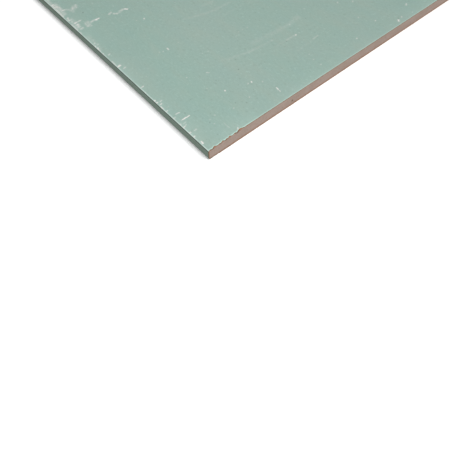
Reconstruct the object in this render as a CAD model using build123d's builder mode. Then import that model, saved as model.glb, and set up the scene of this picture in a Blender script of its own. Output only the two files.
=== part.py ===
"""Drywall sheet: a gypsum core between a wrapped face paper and a lapped back paper.

Millimetres. X runs along the length, Y across the width and Z out of the face.
The sheet lies flat with its face up, and the origin is under its middle.
"""

import os

from build123d import *

os.makedirs("parts", exist_ok=True)

# The whole sheet
sheet_length = 2500
sheet_width = 1200
sheet_thickness = 12.5

# Paper thicknesses
face_paper_thickness = 0.4
back_paper_thickness = 0.4

# Folds of the face paper round the long edges, crisp on the face and softer on the back,
# and its flaps on the back
face_fold_radius = 0.8
back_fold_radius = 2.0
flap_width = 25

# Bare strip of flap left between the back paper and each long edge
back_paper_margin = 12

# Shallow taper of the face along both long edges, which takes the joint tape and filler
taper_width = 45
taper_depth = 1.0

# Places that follow from these sizes
half_width = sheet_width / 2
edge_top = sheet_thickness - taper_depth
field_half_width = half_width - taper_width
flap_gap = sheet_width - 2 * flap_width
back_paper_width = sheet_width - 2 * back_paper_margin
half_length = sheet_length / 2

# Section across the width, of everything above the back paper: tapered face,
# upright long edges and flat back, with the four folds rounded.
with BuildSketch() as wrapped_section:
    with BuildLine():
        face_side = Polyline(
            (0, sheet_thickness),
            (field_half_width, sheet_thickness),
            (half_width, edge_top),
            (half_width, back_paper_thickness),
            (0, back_paper_thickness),
        )
        mirror(face_side, about=Plane.YZ)
    make_face()
    back_corners = wrapped_section.vertices().group_by(Axis.Y)[0].sort_by(Axis.X)
    fillet([back_corners[0], back_corners[-1]], radius=back_fold_radius)
    long_edges = wrapped_section.vertices().group_by(Axis.X)
    face_corners = [long_edges[side].sort_by(Axis.Y)[-1] for side in (0, -1)]
    fillet(face_corners, radius=face_fold_radius)

# Face paper: one paper thickness inside that section, open on the back between its two flaps.
with BuildPart() as face_paper:
    with BuildSketch(Plane.YZ):
        add(wrapped_section.sketch)
        offset(amount=-face_paper_thickness, mode=Mode.SUBTRACT)
        with Locations((0, back_paper_thickness)):
            Rectangle(
                flap_gap,
                face_paper_thickness,
                align=(Align.CENTER, Align.MIN),
                mode=Mode.SUBTRACT,
            )
    extrude(amount=half_length, both=True)
face_paper.part.label = "face_paper"
export_step(face_paper.part, "parts/face_paper.step")

# Gypsum core: fills the folded paper, and comes down between the flaps to the back paper.
with BuildPart() as gypsum_core:
    with BuildSketch(Plane.YZ):
        add(wrapped_section.sketch)
        offset(amount=-face_paper_thickness, mode=Mode.REPLACE)
        with Locations((0, back_paper_thickness)):
            Rectangle(flap_gap, face_paper_thickness, align=(Align.CENTER, Align.MIN))
    extrude(amount=half_length, both=True)
gypsum_core.part.label = "gypsum_core"
export_step(gypsum_core.part, "parts/gypsum_core.step")

# Back paper: a flat strip that closes the core and laps over both flaps.
with BuildPart() as back_paper:
    with BuildSketch(Plane.YZ):
        Rectangle(back_paper_width, back_paper_thickness, align=(Align.CENTER, Align.MIN))
    extrude(amount=half_length, both=True)
back_paper.part.label = "back_paper"
export_step(back_paper.part, "parts/back_paper.step")
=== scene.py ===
"""Drywall sheet: the finish of its gypsum core, wrapped face paper and lapped back paper.

Metres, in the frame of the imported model: X along the length, Y across the width, Z out of the face.
The corner that the camera looks at is the one at +X and -Y.
"""

import math

import bmesh
import bpy
from mathutils import Color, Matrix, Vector, noise


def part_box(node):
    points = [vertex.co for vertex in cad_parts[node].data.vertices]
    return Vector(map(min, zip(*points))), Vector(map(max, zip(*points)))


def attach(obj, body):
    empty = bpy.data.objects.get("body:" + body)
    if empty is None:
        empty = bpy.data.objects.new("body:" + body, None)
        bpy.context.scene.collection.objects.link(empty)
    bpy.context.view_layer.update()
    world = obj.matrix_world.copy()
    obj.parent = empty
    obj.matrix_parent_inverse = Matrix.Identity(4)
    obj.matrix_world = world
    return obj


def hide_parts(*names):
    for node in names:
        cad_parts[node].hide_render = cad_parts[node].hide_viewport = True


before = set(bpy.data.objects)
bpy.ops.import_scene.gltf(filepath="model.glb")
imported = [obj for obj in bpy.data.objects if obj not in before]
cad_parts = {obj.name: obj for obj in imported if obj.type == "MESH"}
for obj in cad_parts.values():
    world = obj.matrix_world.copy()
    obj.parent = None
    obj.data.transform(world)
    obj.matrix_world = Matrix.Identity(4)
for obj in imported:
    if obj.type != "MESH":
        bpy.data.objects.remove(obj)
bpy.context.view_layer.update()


# Gypsum core
# The real piece is a slab of set gypsum, cast between the two papers and sawn to length.
# Only its two sawn ends show: dull tan, finely pitted, and crumbled a little along the paper.

core_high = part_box("gypsum_core")[1]
paper_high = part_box("face_paper")[1]
back_low, back_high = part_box("back_paper")

half_length = paper_high.x
half_width = paper_high.y
face_height = paper_high.z
paper_thickness = paper_high.y - core_high.y

# Folds, tapers and flaps of the face paper, which the core fills
face_fold_radius = 0.0008
back_fold_radius = 0.002
taper_width = 0.045
taper_depth = 0.001
flap_width = 0.025
edge_height = face_height - taper_depth

# The core's skin stays this far inside the paper that is glued to it
glue_line = 0.00004


def core_top(inset):
    """Height of the core's upper side, at a distance in from the long edge."""
    if inset < face_fold_radius:
        inner_radius = face_fold_radius - paper_thickness
        reach = min(face_fold_radius - inset, inner_radius)
        fold_middle = edge_height - face_fold_radius
        return fold_middle + math.sqrt(inner_radius**2 - reach**2) - glue_line
    taper_left = max(0.0, 1.0 - inset / taper_width)
    return face_height - taper_depth * taper_left - paper_thickness - glue_line


def core_bottom(inset):
    """Height of the core's lower side: on the back paper, or on the flap near a long edge."""
    if inset < back_fold_radius:
        inner_radius = back_fold_radius - paper_thickness
        reach = min(back_fold_radius - inset, inner_radius)
        fold_middle = back_high.z + back_fold_radius
        return fold_middle - math.sqrt(inner_radius**2 - reach**2) + glue_line
    if inset < flap_width:
        return back_high.z + paper_thickness + glue_line
    return back_high.z + glue_line


# Depth of the sawn surface behind the paper's edge: an even recess, a slow wave left by the saw,
# grain, pits where bubbles were opened, and a crumbled strip under the face paper
saw_recess = 0.00026
saw_wave = 0.00008
saw_wave_size = 0.009
grain_depth = 0.00007
grain_size = 0.0013
pit_depth = 0.00034
pit_size = 0.0026
pit_threshold = 0.42
crumble_depth = 0.00040
crumble_size = 0.0030
crumble_threshold = -0.25
crumble_height = 0.0011

# Shifts that keep the pits and the crumbled strip from following the wave and the grain
pit_shift = Vector((7, 3, 5))
crumble_shift = Vector((2, 9, 4))


def sawn_depth(point):
    """How far a point of the sawn end lies behind the tips of the paper."""
    wave = saw_wave * noise.noise(point / saw_wave_size)
    grain = grain_depth * noise.noise(point / grain_size)
    pit = max(0.0, noise.noise(point / pit_size + pit_shift) - pit_threshold)
    pit_relief = pit * pit_depth / (1 - pit_threshold)
    below_paper = core_top(half_width - abs(point.y)) - point.z
    nearness = max(0.0, 1.0 - below_paper / crumble_height)
    crumble = max(0.0, noise.noise(point / crumble_size + crumble_shift) - crumble_threshold)
    return saw_recess + wave + grain + pit_relief + nearness * crumble * crumble_depth


# Columns across the width are close together in the folded edges and a grain apart elsewhere
edge_zone = 0.006
edge_step = 0.00025
field_step = 0.001
core_half_width = half_width - paper_thickness - glue_line
field_width = 2 * (core_half_width - edge_zone)
edge_count = round(edge_zone / edge_step)
field_count = round(field_width / field_step)
columns = [-core_half_width + i * edge_zone / edge_count for i in range(edge_count)]
columns += [-core_half_width + edge_zone + i * field_width / field_count for i in range(field_count)]
columns += [core_half_width - edge_zone + i * edge_zone / edge_count for i in range(edge_count + 1)]

# Each sawn end is a grid, spread over those columns and set back by the sawn depth.
# The skin under the papers joins the rims of the two ends.
end_columns = len(columns) - 1
end_rows = 14
grid_half = 0.5
core_mesh = bmesh.new()
for side in (1, -1):
    end_grid = bmesh.ops.create_grid(
        core_mesh, x_segments=end_columns, y_segments=end_rows, size=grid_half
    )
    for vertex in end_grid["verts"]:
        y = columns[round((vertex.co.x + grid_half) * end_columns)]
        inset = half_width - abs(y)
        rise = vertex.co.y + grid_half
        z = core_bottom(inset) + rise * (core_top(inset) - core_bottom(inset))
        point = Vector((side * half_length, y, z))
        point.x -= side * sawn_depth(point)
        vertex.co = point
end_rims = [edge for edge in core_mesh.edges if edge.is_boundary]
bmesh.ops.bridge_loops(core_mesh, edges=end_rims)
bmesh.ops.recalc_face_normals(core_mesh, faces=core_mesh.faces[:])


def finish_piece(mesh, name, material_names, sharp_angle=0.7):
    """Makes a smooth-shaded object of a bmesh, with sharp edges kept sharp."""
    for face in mesh.faces:
        face.smooth = True
    for edge in mesh.edges:
        edge.smooth = edge.is_manifold and edge.calc_face_angle() < sharp_angle
    data = bpy.data.meshes.new(name)
    mesh.to_mesh(data)
    mesh.free()
    piece = bpy.data.objects.new(name, data)
    bpy.context.scene.collection.objects.link(piece)
    for material_name in material_names:
        data.materials.append(bpy.data.materials[material_name])
    return piece


def give(tree, socket, value):
    """Joins a node's socket to another one, or sets it to a plain value."""
    if isinstance(value, bpy.types.NodeSocket):
        tree.links.new(value, socket)
    else:
        socket.default_value = value


def add_node(tree, kind, inputs=(), **settings):
    """Adds a shader node. Inputs go by place or by name, as values or as sockets to join."""
    node = tree.nodes.new(kind)
    for name, value in settings.items():
        setattr(node, name, value)
    named = inputs.items() if isinstance(inputs, dict) else enumerate(inputs)
    for key, value in named:
        give(tree, node.inputs[key], value)
    return node


def reckon(tree, operation, *values):
    """One step of arithmetic on sockets and numbers."""
    return add_node(tree, "ShaderNodeMath", values, operation=operation).outputs[0]


def product(tree, first, *others):
    """Several sockets or numbers multiplied together."""
    for other in others:
        first = reckon(tree, "MULTIPLY", first, other)
    return first


def reckon_place(tree, operation, *places):
    """One step of arithmetic on places, which gives a place."""
    return add_node(tree, "ShaderNodeVectorMath", places, operation=operation).outputs["Vector"]


def reckon_span(tree, operation, *places):
    """One step of arithmetic on places, which gives a number, such as a distance."""
    return add_node(tree, "ShaderNodeVectorMath", places, operation=operation).outputs["Value"]


def fade(tree, value, start, end, low=0.0, high=1.0):
    """Smooth step from low, where the value is at start, to high, where it is at end."""
    inputs = (value, start, end, low, high)
    return add_node(tree, "ShaderNodeMapRange", inputs, interpolation_type="SMOOTHSTEP").outputs[0]


def speckle(tree, place, size, detail=2.0, stretch=(1, 1, 1)):
    """Noise with features of about that size in metres, drawn out by stretch along each axis."""
    scale = [1 / (size * pull) for pull in stretch]
    drawn = reckon_place(tree, "MULTIPLY", place, scale)
    inputs = {"Vector": drawn, "Scale": 1.0, "Detail": detail}
    return add_node(tree, "ShaderNodeTexNoise", inputs).outputs["Fac"]


def scatter_dots(tree, place, cells_per_metre, draw, radius, most):
    """Small round dots of one strength, in some of the cells of a scatter.

    Each cell draws a number from 0 to 1, and its dot comes in between the two draws that are given.
    A dot comes in between its outer and its inner radius, as shares of a cell.
    """
    inputs = {"Vector": place, "Scale": cells_per_metre}
    cells = add_node(tree, "ShaderNodeTexVoronoi", inputs).outputs
    drawn = add_node(tree, "ShaderNodeSeparateXYZ", (cells["Color"],)).outputs[0]
    dot = fade(tree, cells["Distance"], *radius, high=most)
    return product(tree, dot, fade(tree, drawn, *draw))


def lay(tree, amount, under, over):
    """Colour laid over another one by amount. The node's sockets 6, 7 and 2 are its colours."""
    inputs = {0: amount, 6: under, 7: over}
    return add_node(tree, "ShaderNodeMix", inputs, data_type="RGBA").outputs[2]


def dapple(tree, under, over, pattern, start, end, most=1.0):
    """Colour laid over another one where a pattern goes from start to end, up to the most."""
    return lay(tree, fade(tree, pattern, start, end, high=most), under, over)


def tint(red, green, blue):
    """Linear colour of screen values from 0 to 255."""
    screen = Color((red / 255, green / 255, blue / 255))
    return (*screen.from_srgb_to_scene_linear(), 1.0)


def start_material(name):
    """A new material with its node tree, its shader and the place on the object in metres."""
    material = bpy.data.materials.new(name)
    material.use_nodes = True
    tree = material.node_tree
    place = add_node(tree, "ShaderNodeTexCoord").outputs["Object"]
    return tree, tree.nodes["Principled BSDF"], place


def finish_material(tree, shader, colour, roughness, gloss):
    """Gives a material its colour, its roughness and its faint gloss."""
    give(tree, shader.inputs["Base Color"], colour)
    give(tree, shader.inputs["Roughness"], roughness)
    give(tree, shader.inputs["Specular IOR Level"], gloss)


def add_relief(tree, shader, height, depth, strength):
    """Relief that is too fine for the mesh, as bump of that depth in metres."""
    inputs = {"Strength": strength, "Distance": depth, "Height": height}
    bump = add_node(tree, "ShaderNodeBump", inputs).outputs[0]
    give(tree, shader.inputs["Normal"], bump)


# Sawn surface: dull tan in slow blotches, browner in the grain and paler where dust lies on it
dull_tan = tint(177, 157, 145)
light_tan = tint(184, 164, 153)
grain_brown = tint(163, 142, 128)
loose_dust = tint(205, 190, 178)
tree, shader, place = start_material("sawn_gypsum")
blotch = speckle(tree, place, size=0.018)
mottle = speckle(tree, place, size=0.0022, detail=3.0)
dust = speckle(tree, place, size=0.0007)
colour = dapple(tree, dull_tan, light_tan, blotch, start=0.3, end=0.7)
colour = dapple(tree, colour, grain_brown, mottle, start=0.35, end=0.75, most=0.45)
colour = dapple(tree, colour, loose_dust, dust, start=0.6, end=0.8, most=0.45)

# Opened bubbles, in some of the cells of a fine scatter
bubble_brown = tint(122, 98, 82)
bubble = scatter_dots(
    tree, place, cells_per_metre=260.0, draw=(0.60, 0.64), radius=(0.14, 0.05), most=0.6
)
colour = lay(tree, bubble, colour, bubble_brown)

# Brown rim, where the glue from the papers has soaked into the gypsum. It is wider over the back paper,
# where heights are counted at a share of their size.
glue_brown = tint(160, 119, 92)
soak_reach = 0.0015
soak_full = 0.0006
back_soak_share = 0.62
_, y, z = add_node(tree, "ShaderNodeSeparateXYZ", (place,)).outputs
from_edge = reckon(tree, "SUBTRACT", half_width, reckon(tree, "ABSOLUTE", y))
lowered = fade(tree, from_edge, taper_width, 0.0, high=taper_depth)
from_face = reckon(tree, "SUBTRACT", reckon(tree, "SUBTRACT", face_height, lowered), z)
from_back = product(tree, z, back_soak_share)
from_paper = reckon(tree, "MINIMUM", reckon(tree, "MINIMUM", from_face, from_back), from_edge)
colour = dapple(tree, colour, glue_brown, from_paper, soak_reach, soak_full, most=0.85)

# Darker brown under the face paper towards the corners: partly scabs of glue, and partly painted shadow
# under the edge of the torn paper
scab_and_shadow_brown = tint(108, 74, 46)
scab_and_shadow_reach = 0.0019
scab_and_shadow_full = 0.0009
scabs_and_shadow_end = 0.050
scabs_and_shadow_full = 0.036
scab_and_shadow = fade(tree, speckle(tree, place, size=0.0032), 0.47, 0.60, high=0.60)
under_face = fade(tree, from_face, scab_and_shadow_reach, scab_and_shadow_full)
towards_corner = fade(tree, from_edge, scabs_and_shadow_end, scabs_and_shadow_full)
colour = lay(tree, product(tree, scab_and_shadow, under_face, towards_corner), colour, scab_and_shadow_brown)

# Dark brown spots: painted shadow in the gypsum just under the paper where it was torn off, and a small
# bruise further along: distance from the corner, height, the reach from which it comes in, the reach
# within which it is full, and its most
bruise_and_shadow_brown = tint(92, 68, 46)
bruise_and_shadow_spots = (
    (0.0333, face_height - paper_thickness, 0.0030, 0.0008, 0.65),
    (0.1026, 0.0054, 0.0016, 0.0003, 0.90),
)
for from_corner, height, reach, full, most in bruise_and_shadow_spots:
    spot_place = (half_length, from_corner - half_width, height)
    from_spot = reckon_span(tree, "DISTANCE", place, spot_place)
    colour = dapple(tree, colour, bruise_and_shadow_brown, from_spot, reach, full, most)
finish_material(tree, shader, colour, roughness=0.95, gloss=0.2)
add_relief(tree, shader, reckon(tree, "ADD", mottle, dust), depth=0.0002, strength=0.5)

gypsum_core = finish_piece(core_mesh, "sawn_core", ["sawn_gypsum"])
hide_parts("gypsum_core")
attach(gypsum_core, "root")


# Face paper
# The real piece is a strong multi-ply paper, dyed green on its outer ply, that runs through the line
# face down, is creased and folded up round both long edges, and sticks to the gypsum as it sets.
# The saw leaves its ends slightly fuzzy, and it is torn in short nicks next to one corner.

# Rings of vertices just inside both ends, so that only the last strip of paper is ragged
end_rings = (0.0030, 0.0055, 0.011)

# Places closer together than this are the same place
slack = 0.000001


def roll_out(section):
    """A strip of paper with this section, rolled out along the whole length."""
    strip = bmesh.new()
    corners = [strip.verts.new((-half_length, y, z)) for y, z in section]
    creases = [strip.edges.new(pair) for pair in zip(corners, corners[1:])]
    drawn = bmesh.ops.extrude_edge_only(strip, edges=creases)["geom"]
    far_corners = [item for item in drawn if isinstance(item, bmesh.types.BMVert)]
    bmesh.ops.translate(strip, verts=far_corners, vec=(2 * half_length, 0, 0))
    return strip


def round_crease(strip, inset, height, radius, segments):
    """Rounds the two lengthwise creases that lie this far in from the long edges, at this height."""
    creases = []
    for edge in strip.edges:
        start, end = (vertex.co for vertex in edge.verts)
        lengthwise = abs(start.x - end.x) > half_length
        in_place = abs(half_width - abs(start.y) - inset) < slack and abs(start.z - height) < slack
        if lengthwise and in_place:
            creases.append(edge)
    bmesh.ops.bevel(
        strip, geom=creases, offset=radius, segments=segments, profile=0.5, affect="EDGES", material=-1
    )


def cut_rings(strip):
    """Adds the rings near both ends of a strip."""
    for offset in end_rings:
        for side in (1, -1):
            everything = strip.verts[:] + strip.edges[:] + strip.faces[:]
            place_on_strip = (side * (half_length - offset), 0, 0)
            bmesh.ops.bisect_plane(strip, geom=everything, plane_co=place_on_strip, plane_no=(1, 0, 0))


def divide_across(strip, inner, outer, step):
    """Divides the crosswise edges between two distances from the middle line into short steps."""
    by_count = {}
    for edge in strip.edges:
        start, end = (vertex.co for vertex in edge.verts)
        crosswise = abs(start.x - end.x) < slack
        within = all(inner - slack <= abs(co.y) <= outer + slack for co in (start, end))
        count = round(edge.calc_length() / step)
        if crosswise and within and count > 1:
            by_count.setdefault(count, []).append(edge)
    for count, edges in by_count.items():
        bmesh.ops.subdivide_edges(strip, edges=edges, cuts=count - 1, use_grid_fill=True)


flap_side = [
    (half_width - flap_width, back_high.z),
    (half_width, back_high.z),
    (half_width, edge_height),
    (half_width - taper_width, face_height),
]
wrap = [*((-y, z) for y, z in flap_side), *reversed(flap_side)]
paper_mesh = roll_out(wrap)

# The folds are crisp on the face and softer on the back, and the taper starts softly
taper_ease = 0.010
round_crease(paper_mesh, 0, edge_height, face_fold_radius, segments=6)
round_crease(paper_mesh, 0, back_high.z, back_fold_radius, segments=8)
round_crease(paper_mesh, taper_width, face_height, taper_ease, segments=4)

# Vertices for the ragged ends are closer together on the tapers, where the nicks are
flat_half_width = half_width - taper_width - taper_ease
flat_step = 0.0011
taper_step = 0.0004
cut_rings(paper_mesh)
divide_across(paper_mesh, 0, flat_half_width, flat_step)
divide_across(paper_mesh, flat_half_width, half_width, taper_step)

# Fuzz of the sawn paper, and the nicks beside the corner: place along the end, depth into the face,
# and reach towards the corner and away from it, all in millimetres
fuzz_depth = 0.00011
fuzz_size = 0.0012
millimetre = 0.001
nicks = (
    (2.0, 0.55, 1.5, 1.5),
    (7.4, 1.40, 3.0, 1.6),
    (12.4, 0.40, 1.8, 1.5),
    (16.4, 1.10, 2.6, 1.4),
    (20.8, 0.65, 1.6, 1.4),
    (24.4, 1.30, 2.4, 1.4),
    (30.2, 0.65, 2.2, 1.4),
    (36.4, 1.60, 4.4, 4.8),
    (44.6, 0.25, 2.0, 2.5),
)


def nick_depth(along):
    """Depth of the torn nicks at a distance along the end from the corner."""
    deepest = 0.0
    for middle, depth, before, after in nicks:
        offset = along / millimetre - middle
        reach = before if offset < 0 else after
        share = max(0.0, 1.0 - abs(offset) / reach)
        deepest = max(deepest, depth * share)
    return deepest * millimetre


def fray(strip):
    """Draws the last row of vertices back from both ends by the fuzz and the nicks."""
    for vertex in strip.verts:
        if abs(vertex.co.x) < half_length - slack:
            continue
        side = math.copysign(1, vertex.co.x)
        fuzz = fuzz_depth * (1 + noise.noise(vertex.co / fuzz_size))
        torn = 0.0
        if side > 0 and vertex.co.z > edge_height - face_fold_radius:
            torn = nick_depth(vertex.co.y + half_width)
        vertex.co.x -= side * (fuzz + torn)


def bare_ends(strip):
    """Gives the sawn ends of a paper its second material, that of its inner plies."""
    facing_out = 0.5
    for face in strip.faces:
        face.normal_update()
        if abs(face.normal.x) > facing_out:
            face.material_index = 1


fray(paper_mesh)
bmesh.ops.solidify(paper_mesh, geom=paper_mesh.faces[:], thickness=paper_thickness)
bare_ends(paper_mesh)

# How frayed the paper is, for its material: 1 along the sawn and torn ends,
# and 0 from the first ring inwards
frayed_from = half_length - end_rings[0] + slack
frayed_layer = paper_mesh.verts.layers.float.new("frayed")
for vertex in paper_mesh.verts:
    vertex[frayed_layer] = 1.0 if abs(vertex.co.x) > frayed_from else 0.0

# Inner plies, which show at the sawn ends: undyed pulp
dark_pulp = tint(136, 98, 70)
light_pulp = tint(160, 120, 92)
tree, shader, place = start_material("paper_plies")
colour = dapple(tree, dark_pulp, light_pulp, speckle(tree, place, size=0.0009), start=0.3, end=0.7)
finish_material(tree, shader, colour, roughness=0.95, gloss=0.2)

# Chalky rubs, scratches and grains of gypsum dust on the face near the corner. Each is a straight
# stroke: its start and its end, both as millimetres from the long edge and from the sawn end,
# its reach to either side in millimetres, and how much dust it leaves
rubs = (
    (2.0, 10.0, 2.3, 12.0, 1.6, 1.00),
    (0.8, 20.4, 1.9, 20.9, 1.3, 0.78),
    (0.6, 26.5, 2.0, 26.6, 1.3, 0.78),
    (5.6, 26.0, 7.5, 26.2, 1.3, 0.30),
    (0.6, 35.0, 2.0, 35.5, 1.4, 0.85),
    (2.0, 35.5, 4.6, 36.2, 1.2, 0.60),
    (3.8, 38.8, 5.6, 39.0, 1.5, 0.26),
    (0.4, 39.6, 1.2, 39.9, 1.3, 0.80),
    (4.2, 43.0, 5.8, 43.0, 1.15, 0.42),
    (5.8, 43.0, 13.2, 43.0, 1.15, 1.00),
    (0.8, 49.3, 2.4, 49.5, 1.3, 0.55),
    (4.9, 52.2, 7.4, 52.1, 1.05, 0.50),
    (7.4, 52.1, 8.9, 51.9, 1.05, 0.72),
    (0.6, 60.4, 2.2, 61.0, 1.3, 0.65),
    (4.4, 64.0, 6.0, 64.6, 1.2, 0.22),
    (0.3, 65.8, 0.7, 66.2, 1.2, 0.95),
    (0.4, 67.6, 0.6, 68.6, 1.2, 0.85),
    (2.0, 71.2, 3.5, 71.6, 1.3, 0.64),
    (4.0, 74.6, 5.4, 74.9, 1.4, 0.46),
    (0.7, 75.6, 1.2, 75.4, 1.6, 1.00),
    (0.6, 78.4, 1.1, 78.8, 1.5, 0.95),
    (0.5, 93.1, 0.9, 93.5, 1.2, 0.50),
    (1.7, 101.2, 3.7, 101.6, 1.4, 0.68),
    (3.8, 135.0, 4.6, 134.9, 1.4, 0.52),
    (5.0, 135.4, 6.0, 135.7, 1.4, 0.52),
    (1.0, 141.0, 3.5, 141.3, 2.0, 1.00),
    (0.7, 144.0, 0.9, 151.5, 1.3, 0.40),
    (3.6, 162.2, 5.2, 162.9, 1.5, 0.46),
    (0.4, 166.4, 0.8, 168.2, 1.4, 0.54),
    (0.6, 173.0, 1.0, 175.0, 1.4, 0.54),
    (0.6, 176.2, 1.4, 179.2, 1.7, 0.80),
    (0.6, 182.6, 1.2, 184.4, 1.6, 0.60),
    (3.9, 183.6, 4.6, 184.4, 1.6, 0.46),
    (2.2, 187.0, 3.0, 188.2, 1.5, 0.50),
    (4.0, 192.0, 4.5, 193.0, 1.5, 0.28),
    (2.5, 176.0, 3.0, 202.0, 4.2, 0.14),
    (0.6, 210.4, 0.8, 213.6, 1.5, 0.48),
    (4.2, 218.2, 6.6, 218.6, 2.4, 0.58),
    (12.4, 217.0, 13.2, 224.0, 2.0, 0.40),
    (15.8, 215.4, 16.6, 225.0, 2.0, 0.34),
    (14.6, 218.0, 15.2, 223.0, 4.6, 0.36),
    (18.0, 221.4, 23.6, 222.0, 2.6, 0.44),
    (24.2, 221.4, 28.6, 221.4, 2.1, 1.00),
    (40.8, 219.8, 44.0, 221.6, 2.3, 0.54),
    (45.4, 217.6, 45.8, 216.8, 2.2, 0.60),
    (47.5, 216.0, 48.0, 215.2, 2.2, 0.60),
    (51.4, 216.0, 55.0, 217.2, 3.0, 0.46),
    (56.4, 218.2, 58.8, 217.4, 2.6, 0.48),
    (59.4, 216.8, 60.9, 215.2, 2.1, 1.00),
    (1.0, 219.0, 1.2, 232.0, 1.8, 0.46),
    (3.6, 222.0, 4.6, 240.0, 4.6, 0.30),
    (4.4, 222.8, 5.8, 226.8, 3.2, 0.74),
    (4.4, 231.2, 6.4, 231.4, 2.5, 0.84),
    (7.2, 231.4, 11.2, 231.8, 2.1, 0.58),
    (3.4, 234.0, 4.2, 239.0, 1.9, 0.44),
    (2.2, 239.4, 3.2, 244.6, 2.1, 0.66),
    (1.1, 250.5, 1.6, 264.0, 1.7, 0.72),
    (3.0, 251.6, 5.4, 254.6, 2.0, 0.38),
    (3.8, 254.0, 4.4, 276.0, 5.0, 0.40),
    (5.6, 261.0, 7.6, 260.4, 2.8, 0.62),
    (5.6, 263.6, 6.0, 269.0, 2.8, 0.58),
    (1.6, 265.0, 2.0, 278.0, 2.0, 0.68),
    (4.6, 269.0, 3.2, 277.4, 2.9, 0.66),
    (2.2, 275.6, 2.6, 277.0, 2.0, 0.86),
    (2.0, 281.0, 3.0, 291.0, 3.4, 0.32),
    (13.6, 250.4, 15.2, 254.8, 2.4, 0.30),
    (14.0, 254.0, 20.6, 258.6, 4.6, 0.34),
    (15.4, 255.0, 17.4, 258.8, 2.4, 0.50),
    (20.2, 255.0, 22.0, 260.8, 2.1, 0.42),
    (9.6, 259.6, 12.4, 257.4, 2.4, 0.34),
    (34.6, 1.6, 35.8, 3.2, 1.0, 0.66),
    (30.3, 8.0, 30.7, 15.5, 0.9, 0.20),
    (23.6, 20.4, 24.0, 20.6, 1.0, 0.28),
    (23.8, 26.8, 24.2, 27.2, 1.0, 0.22),
    (30.3, 27.8, 30.8, 28.4, 1.1, 0.36),
    (48.5, 22.9, 49.2, 23.6, 1.1, 0.26),
    (57.7, 45.5, 58.1, 46.2, 1.2, 1.00),
    (46.8, 58.8, 47.2, 59.2, 1.1, 0.22),
    (61.0, 76.4, 62.4, 75.0, 1.1, 0.34),
    (41.8, 83.4, 42.2, 84.0, 1.1, 0.30),
    (44.0, 130.8, 44.3, 131.2, 1.2, 0.34),
    (47.6, 129.6, 48.0, 130.0, 1.2, 0.36),
    (53.8, 128.6, 54.0, 131.0, 1.4, 0.70),
    (65.0, 187.6, 65.4, 188.6, 1.5, 0.75),
    (37.4, 249.0, 37.8, 250.0, 1.4, 0.22),
    (69.0, 24.0, 70.0, 25.0, 0.95, 0.30),
    (92.8, 31.3, 93.4, 32.2, 0.9, 0.34),
    (84.6, 37.7, 85.2, 38.7, 1.1, 1.00),
    (80.5, 38.6, 81.0, 39.0, 1.1, 0.42),
    (96.2, 11.0, 96.8, 15.0, 0.85, 0.66),
    (96.8, 14.8, 97.2, 17.2, 0.95, 0.82),
    (90.3, 76.3, 91.0, 76.8, 1.2, 0.16),
    (153.2, 12.0, 153.6, 12.2, 1.3, 0.40),
    (153.4, 21.7, 153.9, 21.9, 1.3, 0.24),
    (212.2, 15.0, 212.9, 15.4, 1.4, 0.56),
    (168.8, 60.7, 169.5, 61.1, 1.5, 0.90),
    (143.0, 70.4, 143.5, 70.8, 1.3, 0.22),
    (176.5, 77.3, 177.1, 77.7, 1.4, 0.24),
    (209.6, 86.8, 210.3, 87.4, 1.5, 0.26),
    (270.2, 5.0, 271.7, 6.3, 1.9, 1.00),
    (278.2, 7.0, 279.5, 7.9, 1.5, 0.36),
    (294.8, 4.8, 295.8, 5.4, 1.4, 0.24),
    (301.0, 17.4, 303.4, 18.9, 1.5, 0.56),
    (251.6, 21.6, 252.4, 22.2, 1.4, 0.50),
    (242.2, 37.4, 242.9, 37.9, 1.4, 0.30),
    (260.2, 60.6, 262.4, 61.8, 1.4, 0.36),
    (246.2, 70.4, 248.0, 72.0, 1.4, 0.36),
    (138.6, 103.2, 139.4, 103.9, 1.4, 0.26),
    (132.8, 103.8, 133.3, 104.3, 1.3, 0.16),
    (126.8, 103.9, 127.4, 104.5, 1.3, 0.16),
)

# Faint smears, where something was dragged over the face: the same measures
smears = (
    (84.0, 79.6, 93.0, 77.0, 3.4, 0.04),
    (93.0, 77.0, 104.0, 74.6, 3.2, 0.07),
    (104.0, 74.6, 113.0, 72.6, 3.0, 0.09),
    (113.0, 72.4, 119.5, 72.0, 3.0, 0.13),
    (119.5, 72.0, 130.0, 71.2, 2.8, 0.09),
    (130.0, 71.2, 145.0, 70.4, 2.8, 0.05),
    (126.0, 80.0, 150.0, 79.0, 6.0, 0.07),
    (150.0, 78.5, 176.0, 78.0, 5.5, 0.09),
    (176.0, 78.6, 193.0, 81.2, 5.0, 0.11),
    (139.0, 61.0, 155.0, 61.0, 2.2, 0.06),
    (155.0, 61.0, 168.0, 61.0, 2.0, 0.16),
    (152.0, 41.6, 177.0, 44.0, 2.0, 0.05),
    (177.6, 44.4, 185.4, 45.2, 1.6, 0.21),
    (98.0, 159.0, 108.0, 156.0, 3.0, 0.06),
    (108.0, 156.0, 122.0, 151.8, 3.0, 0.09),
    (122.0, 151.6, 133.0, 150.5, 3.0, 0.10),
    (133.0, 150.5, 155.0, 150.6, 3.4, 0.08),
    (129.0, 165.0, 141.0, 164.5, 3.4, 0.07),
    (137.0, 136.5, 165.0, 138.5, 3.0, 0.04),
)

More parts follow.
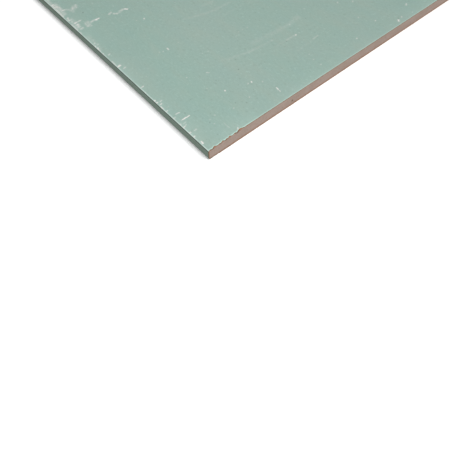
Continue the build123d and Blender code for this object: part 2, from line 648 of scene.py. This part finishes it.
# Dark specks in the recycled pulp: the same measures
specks = (
    (7.0, 11.0, 7.3, 11.4, 0.9, 0.18),
    (17.6, 8.8, 17.9, 9.2, 1.0, 0.16),
    (21.2, 23.8, 21.8, 24.8, 1.0, 0.32),
    (2.8, 26.4, 3.1, 26.8, 0.9, 0.24),
    (28.8, 32.0, 29.1, 32.4, 1.0, 0.20),
    (19.8, 32.2, 20.1, 32.5, 1.0, 0.16),
    (11.8, 47.4, 12.4, 48.4, 1.1, 0.24),
    (26.3, 57.6, 26.6, 58.0, 1.0, 0.24),
    (62.4, 20.5, 62.8, 20.9, 1.0, 0.28),
    (54.4, 27.4, 54.8, 27.8, 1.0, 0.24),
    (57.2, 58.5, 57.6, 58.9, 1.0, 0.22),
    (60.1, 61.5, 60.5, 61.9, 1.0, 0.22),
    (79.0, 29.3, 79.3, 29.6, 1.0, 0.26),
    (87.2, 59.4, 87.6, 59.8, 1.0, 0.28),
    (94.6, 72.5, 95.0, 72.9, 1.1, 0.22),
    (52.3, 100.8, 52.6, 101.2, 1.1, 0.17),
    (153.7, 59.6, 154.1, 59.9, 1.2, 0.27),
    (118.3, 103.2, 118.7, 104.2, 1.4, 0.15),
    (95.4, 147.2, 95.8, 147.8, 1.4, 0.15),
    (20.6, 242.0, 21.0, 242.8, 1.5, 0.42),
    (273.8, 7.6, 274.4, 8.0, 1.4, 0.34),
)


def make_scuff_group():
    """Node group that adds one straight rubbed stroke to the chalk that is on the paper already.

    A stroke drags the chalk under it a little way. This also makes the strokes wait for each other,
    so that the shader holds only one of them in memory at a time.
    """
    group = bpy.data.node_groups.new("scuff", "ShaderNodeTree")
    for name in ("Place", "Start", "Run"):
        group.interface.new_socket(name, in_out="INPUT", socket_type="NodeSocketVector")
    for name in ("Width", "Strength", "Chalk"):
        group.interface.new_socket(name, in_out="INPUT", socket_type="NodeSocketFloat")
    group.interface.new_socket("Chalk", in_out="OUTPUT", socket_type="NodeSocketFloat")
    given = add_node(group, "NodeGroupInput").outputs
    drag = (0.0001, 0.0002, 0)
    dragged = reckon_place(group, "MULTIPLY_ADD", given["Chalk"], drag, given["Place"])
    away = reckon_place(group, "SUBTRACT", dragged, given["Start"])
    along = reckon_span(group, "DOT_PRODUCT", away, given["Run"])
    whole = reckon_span(group, "DOT_PRODUCT", given["Run"], given["Run"])
    share = add_node(group, "ShaderNodeMath", (along, whole), operation="DIVIDE", use_clamp=True)
    nearest = reckon_place(group, "MULTIPLY", given["Run"], share.outputs[0])
    distance = reckon_span(group, "DISTANCE", away, nearest)
    rub = product(group, fade(group, distance, given["Width"], 0.0), given["Strength"])
    add_node(group, "NodeGroupOutput", (reckon(group, "MAXIMUM", rub, given["Chalk"]),))
    return group


scuff_group = make_scuff_group()


def draw_strokes(tree, place, strokes):
    """How strongly a list of strokes covers each place, from 0 to 1."""
    cover = 0.0
    for edge_1, end_1, edge_2, end_2, reach, strength in strokes:
        start = Vector((half_length - end_1 * millimetre, edge_1 * millimetre - half_width, 0))
        end = Vector((half_length - end_2 * millimetre, edge_2 * millimetre - half_width, 0))
        inputs = {
            "Place": place,
            "Start": start,
            "Run": end - start,
            "Width": reach * millimetre,
            "Strength": strength,
            "Chalk": cover,
        }
        cover = add_node(tree, "ShaderNodeGroup", inputs, node_tree=scuff_group).outputs["Chalk"]
    return cover


def scatter_flecks(tree, place, spacing, share, size, most=1.0, dimensions="3D"):
    """Small round flecks of every strength up to the most, in a share of the cells of a scatter."""
    heart_share = 0.3
    inputs = {"Vector": place, "Scale": 1 / spacing}
    cells = add_node(tree, "ShaderNodeTexVoronoi", inputs, voronoi_dimensions=dimensions).outputs
    drawn = add_node(tree, "ShaderNodeSeparateXYZ", (cells["Color"],)).outputs[0]
    strength = add_node(tree, "ShaderNodeMapRange", (drawn, 1 - share, 1.0, 0.0, most)).outputs[0]
    spot = fade(tree, cells["Distance"], size / spacing, heart_share * size / spacing)
    return product(tree, spot, strength)


def die_away(tree, distance, reach):
    """1 at no distance, and less and less over about that reach."""
    return reckon(tree, "EXPONENT", product(tree, distance, -1 / reach))


tree, shader, place = start_material("green_paper")
x, y, z = add_node(tree, "ShaderNodeSeparateXYZ", (place,)).outputs
from_edge = reckon(tree, "SUBTRACT", half_width, reckon(tree, "ABSOLUTE", y))
from_end = reckon(tree, "SUBTRACT", half_length, reckon(tree, "ABSOLUTE", x))
on_face = fade(tree, z, edge_height - face_fold_radius, edge_height - face_fold_radius / 2)
on_edge = reckon(tree, "SUBTRACT", 1.0, on_face)

# Dyed pulp: slow clouds drawn out along the sheet, mottle and fibres. Over a few hundred millimetres
# the green also drifts between a greyer and a greener shade. Each pattern has a colour for where it
# runs high and one for where it runs low, with the stretch over which the colour comes in, and then the
# most that both come to
cool_green = tint(142, 170, 160)
warm_green = tint(145, 169, 160)
cloud = speckle(tree, place, size=0.045, detail=3.0, stretch=(1.8, 1, 1))
warmth = speckle(tree, place, size=0.013, detail=3.0, stretch=(3, 1, 1))
drift = speckle(tree, place, size=0.35, stretch=(2, 1, 1))
mottle = speckle(tree, place, size=0.0030, detail=3.0)
fibre = speckle(tree, place, size=0.0009, stretch=(4, 1, 1))
pulp_patterns = (
    (warmth, tint(153, 171, 159), (0.45, 0.75), tint(140, 170, 163), (0.50, 0.25), 0.50),
    (drift, tint(155, 172, 163), (0.40, 0.64), tint(140, 166, 156), (0.60, 0.36), 0.40),
    (mottle, tint(159, 185, 176), (0.55, 0.80), tint(135, 155, 144), (0.45, 0.20), 0.65),
    (fibre, tint(163, 187, 179), (0.55, 0.80), tint(131, 152, 142), (0.42, 0.20), 0.50),
)
colour = dapple(tree, cool_green, warm_green, cloud, start=0.35, end=0.65)
for pattern, high_green, rise, low_green, fall, most in pulp_patterns:
    colour = dapple(tree, colour, high_green, pattern, *rise, most)
    colour = dapple(tree, colour, low_green, pattern, *fall, most)

# Flecks of darker recycled pulp, and grains of pale dust in other places
fleck_green = tint(104, 124, 114)
grain_white = tint(206, 214, 208)
fleck_size = 0.0012
grain_shift = (0.37, 0.11, 0)
other_place = reckon_place(tree, "ADD", place, grain_shift)
dark_fleck = scatter_flecks(tree, place, spacing=0.0080, share=0.60, size=fleck_size, most=0.34)
pale_fleck = scatter_flecks(tree, other_place, spacing=0.0100, share=0.40, size=fleck_size, most=0.30)
colour = lay(tree, dark_fleck, colour, fleck_green)
colour = lay(tree, pale_fleck, colour, grain_white)

# The upright edges are a little grubby in streaks along the sheet, and the whole upright band is tinted
# warmer and darker as painted shade. Just under the fold it is darker still, as painted shade
edge_grime_and_shade = tint(139, 150, 131)
under_fold_shade = tint(90, 105, 90)
under_fold_shade_reach = 0.0028
under_fold_shade_full = 0.0014
streak = speckle(tree, place, size=0.0009, stretch=(90, 1, 1))
grubby_and_shaded = product(tree, fade(tree, streak, 0.25, 0.75, low=0.15, high=0.65), on_edge)
colour = lay(tree, grubby_and_shaded, colour, edge_grime_and_shade)
# Painted shade, darker just under the fold
below_fold = reckon(tree, "SUBTRACT", edge_height, z)
under_fold_shade_share = product(tree, fade(tree, below_fold, under_fold_shade_reach, under_fold_shade_full, high=0.92), on_edge)
colour = lay(tree, under_fold_shade_share, colour, under_fold_shade)

# The face is worn paler over a finger's width along all its rims, in patches. On the fold it is paler
# still: partly wear, and partly a painted highlight of the rounded fold
rim_haze = tint(202, 223, 214)
haze_reach = 0.010
haze_patch = speckle(tree, place, size=0.050, detail=4.0)
haze = die_away(tree, reckon(tree, "MINIMUM", from_edge, from_end), haze_reach)
haze = product(tree, haze, fade(tree, haze_patch, 0.38, 0.68, low=0.04, high=0.15), on_face)
colour = lay(tree, haze, colour, rim_haze)
# Paler line along the fold: wear together with a painted highlight
fold_wear_and_highlight_colour = tint(208, 228, 220)
fold_wear_and_highlight_reach = 0.0013
fold_wear_and_highlight_full = 0.0003
fold_patch = speckle(tree, place, size=0.004, stretch=(4, 1, 1))
fold_wear_and_highlight = fade(tree, from_edge, fold_wear_and_highlight_reach, fold_wear_and_highlight_full)
fold_wear_and_highlight = product(tree, fold_wear_and_highlight, fade(tree, fold_patch, 0.25, 0.65, low=0.35, high=0.88), on_face)
colour = lay(tree, fold_wear_and_highlight, colour, fold_wear_and_highlight_colour)

# The sawn end is pale where the paper's outer ply is frayed, most of all beside the torn corner,
# and dirty where it comes round the long edge
frayed_ply = tint(184, 216, 206)
end_grime = tint(82, 88, 70)
torn_reach = 0.060
torn_full = 0.040
torn = fade(tree, from_edge, torn_reach, torn_full, low=0.40, high=0.75)
frayed = add_node(tree, "ShaderNodeAttribute", attribute_name="frayed").outputs["Fac"]
end_wear = product(tree, fade(tree, frayed, 0.45, 0.80), torn, on_face)
colour = lay(tree, end_wear, colour, frayed_ply)
end_dirt = product(tree, fade(tree, frayed, 0.55, 0.95, high=0.75), on_edge)
colour = lay(tree, end_dirt, colour, end_grime)

# The strokes lie flat on the face, and the rubs and specks have wobbly outlines
speck_brown = tint(84, 84, 74)
chalk_white = tint(226, 222, 218)
wobble_reach = 0.0015
wobble_middle = (0.5, 0.5, 0.5)
flat_place = reckon_place(tree, "MULTIPLY", place, (1, 1, 0))
wobble_inputs = {"Vector": place, "Scale": 500.0, "Detail": 2.0}
wobble = add_node(tree, "ShaderNodeTexNoise", wobble_inputs).outputs["Color"]
wobble = reckon_place(tree, "SUBTRACT", wobble, wobble_middle)
wobble = reckon_place(tree, "MULTIPLY", wobble, (wobble_reach, wobble_reach, 0))
rubbed_place = reckon_place(tree, "ADD", flat_place, wobble)
colour = lay(tree, draw_strokes(tree, rubbed_place, specks), colour, speck_brown)
smear = draw_strokes(tree, flat_place, smears)
rubbed = draw_strokes(tree, rubbed_place, rubs)

# Past the strokes, from these distances on, the same marks are scattered over the rest of the sheet
strokes_from_end = 0.30
strokes_from_edge = 0.34
change_over = 0.04
last_x = half_length - strokes_from_end
last_y = strokes_from_edge - half_width
away_along = fade(tree, x, last_x, last_x - change_over)
away_across = fade(tree, y, last_y, last_y + change_over)
elsewhere = reckon(tree, "MAXIMUM", away_along, away_across)

# Smears run across the sheet, all over it. Their dust catches on the tooth of the paper
smear_draw = (1, 0.16, 0)
tooth = speckle(tree, place, size=0.0011, detail=3.0, stretch=(1, 3.5, 1))
caught = fade(tree, tooth, 0.38, 0.62, low=0.40, high=1.08)
smear_place = reckon_place(tree, "MULTIPLY", rubbed_place, smear_draw)
more_smears = scatter_flecks(
    tree, smear_place, spacing=0.040, share=0.50, size=0.0030, most=0.22, dimensions="2D"
)
smear = reckon(tree, "MAXIMUM", smear, product(tree, more_smears, elsewhere))
colour = lay(tree, product(tree, smear, caught), colour, chalk_white)

# Short rubs run across both long edges, thickest in patches. Thick dust covers the tooth
rub_draw = (1, 0.30, 0)
rub_reach = 0.016
thickness_power = 3.0
rub_place = reckon_place(tree, "MULTIPLY", rubbed_place, rub_draw)
more_rubs = scatter_flecks(tree, rub_place, spacing=0.0070, share=0.60, size=0.0016, dimensions="2D")
patches = fade(tree, speckle(tree, place, size=0.055), 0.40, 0.66, high=1.6)
patches = product(tree, patches, die_away(tree, from_edge, rub_reach), elsewhere)
rubbed = reckon(tree, "MAXIMUM", rubbed, product(tree, more_rubs, patches))
thick = reckon(tree, "POWER", rubbed, thickness_power)
caught = reckon(tree, "MULTIPLY_ADD", reckon(tree, "SUBTRACT", 1.0, caught), thick, caught)
colour = lay(tree, product(tree, caught, rubbed, on_face), colour, chalk_white)

fibre_share = 0.6
mottle_share = 0.4
roughness = fade(tree, mottle, 0.3, 0.7, low=0.80, high=0.92)
finish_material(tree, shader, colour, roughness, gloss=0.25)
relief = reckon(tree, "ADD", product(tree, fibre, fibre_share), product(tree, mottle, mottle_share))
add_relief(tree, shader, relief, depth=0.00012, strength=0.35)

face_paper = finish_piece(paper_mesh, "wrapped_face_paper", ["green_paper", "paper_plies"])
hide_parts("face_paper")
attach(face_paper, "root")


# Back paper
# The real piece is an undyed paper of recycled pulp, a little narrower than the sheet.
# It closes the back of the core and is glued down over the two flaps of the face paper.

back_half_width = back_high.y
back_step = 0.0012
back_mesh = roll_out([(back_half_width, back_low.z), (-back_half_width, back_low.z)])
cut_rings(back_mesh)
divide_across(back_mesh, 0, back_half_width, back_step)
fray(back_mesh)
bmesh.ops.solidify(back_mesh, geom=back_mesh.faces[:], thickness=back_high.z - back_low.z)
bare_ends(back_mesh)

# Grey-brown kraft in slow clouds, with mottle, pale fibres and dark flecks of pulp
kraft_brown = tint(163, 150, 132)
kraft_light = tint(171, 158, 139)
kraft_mottle = tint(148, 134, 116)
kraft_fibre = tint(190, 178, 160)
kraft_fleck = tint(110, 98, 84)
tree, shader, place = start_material("kraft_paper")
cloud = speckle(tree, place, size=0.060)
fibre = speckle(tree, place, size=0.0010, stretch=(6, 1, 1))
mottle = speckle(tree, place, size=0.005, detail=3.0)
fleck = scatter_dots(
    tree, place, cells_per_metre=150.0, draw=(0.55, 0.60), radius=(0.14, 0.06), most=0.6
)
colour = dapple(tree, kraft_brown, kraft_light, cloud, start=0.3, end=0.7)
colour = dapple(tree, colour, kraft_mottle, mottle, start=0.35, end=0.75, most=0.40)
colour = dapple(tree, colour, kraft_fibre, fibre, start=0.58, end=0.8, most=0.45)
colour = lay(tree, fleck, colour, kraft_fleck)
roughness = fade(tree, mottle, 0.3, 0.7, low=0.82, high=0.94)
finish_material(tree, shader, colour, roughness, gloss=0.2)
add_relief(tree, shader, fibre, depth=0.00012, strength=0.35)

back_paper = finish_piece(back_mesh, "lapped_back_paper", ["kraft_paper", "paper_plies"])
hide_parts("back_paper")
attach(back_paper, "root")


# Floor and light
# A plain white studio floor carries the sheet and its shadow. One broad soft lamp stands high
# towards the sawn end, the surroundings fill in weakly, and a small lamp lifts the near corner.

floor_half_size = 30.0
floor_mesh = bmesh.new()
bmesh.ops.create_grid(floor_mesh, x_segments=1, y_segments=1, size=floor_half_size)


def seen_directly(tree):
    """1 for what the camera sees itself or in a mirror or glass, and 0 for the light that bounces."""
    ray = add_node(tree, "ShaderNodeLightPath").outputs
    mirrored = reckon(tree, "MAXIMUM", ray["Is Glossy Ray"], ray["Is Transmission Ray"])
    return reckon(tree, "MAXIMUM", ray["Is Camera Ray"], mirrored)


white = (1, 1, 1, 1)
bounce_grey = (0.52, 0.52, 0.52, 1)
floor_lift = 0.116
floor_material = bpy.data.materials.new("studio_floor")
floor_material.use_nodes = True
tree = floor_material.node_tree
tree.nodes.remove(tree.nodes["Principled BSDF"])
bounce = add_node(tree, "ShaderNodeBsdfDiffuse", {"Color": bounce_grey}).outputs[0]
paint = add_node(tree, "ShaderNodeBsdfDiffuse", {"Color": white}).outputs[0]
lift = add_node(tree, "ShaderNodeEmission", {"Color": white, "Strength": floor_lift}).outputs[0]
shown = add_node(tree, "ShaderNodeAddShader", (paint, lift)).outputs[0]
mixed = add_node(tree, "ShaderNodeMixShader", (seen_directly(tree), bounce, shown)).outputs[0]
give(tree, tree.nodes["Material Output"].inputs["Surface"], mixed)
floor = finish_piece(floor_mesh, "studio_floor", ["studio_floor"])

fill_strength = 0.32
shown_strength = 1.0
world = bpy.data.worlds.new("studio")
bpy.context.scene.world = world
world.use_nodes = True
tree = world.node_tree
surroundings = tree.nodes["Background"]
levels = (seen_directly(tree), 0.0, 1.0, fill_strength, shown_strength)
give(tree, surroundings.inputs["Color"], white)
give(tree, surroundings.inputs["Strength"], add_node(tree, "ShaderNodeMapRange", levels).outputs[0])


def add_lamp(name, kind, place, target, **settings):
    """A lamp at a place, turned towards a target."""
    lamp = bpy.data.lights.new(name, kind)
    for setting, value in settings.items():
        setattr(lamp, setting, value)
    holder = bpy.data.objects.new(name, lamp)
    holder.location = place
    holder.rotation_euler = (target - place).to_track_quat("-Z", "Y").to_euler()
    holder.visible_camera = False
    bpy.context.scene.collection.objects.link(holder)


near_corner = Vector((half_length, -half_width, face_height))
key_place = Vector((2.75, 1.25, 5.0))
key_target = Vector((0, 0, 0))
corner_lamp_place = near_corner + Vector((0.06, -0.06, 0.33))
corner_lamp_target = near_corner + Vector((-0.05, 0.05, 0))
add_lamp("key", "SUN", key_place, key_target, energy=2.07, angle=math.radians(28))
add_lamp("corner_lamp", "AREA", corner_lamp_place, corner_lamp_target, energy=0.42, size=0.30)


# Camera
# It stands close over the near corner and looks steeply down along the sheet, so that the corner
# points at the middle of the picture and the rest of the sheet runs out at the top.

frame_pixels = 450
sensor = 36.0
focal_pixels = 370.42
azimuth = math.radians(49.1502)
elevation = math.radians(60.6810)
stand = Vector((0.16550, -0.12481, 0.24057))

camera_data = bpy.data.cameras.new("camera")
camera_data.sensor_width = sensor
camera_data.lens = focal_pixels / frame_pixels * sensor
camera_data.clip_start = 0.01
camera = bpy.data.objects.new("camera", camera_data)
level_reach = math.cos(elevation)
backwards = Vector(
    (math.sin(azimuth) * level_reach, -math.cos(azimuth) * level_reach, math.sin(elevation))
)
camera.location = near_corner + stand
camera.rotation_euler = (-backwards).to_track_quat("-Z", "Y").to_euler()
bpy.context.scene.collection.objects.link(camera)
bpy.context.scene.camera = camera
bpy.context.scene.view_settings.view_transform = "Standard"
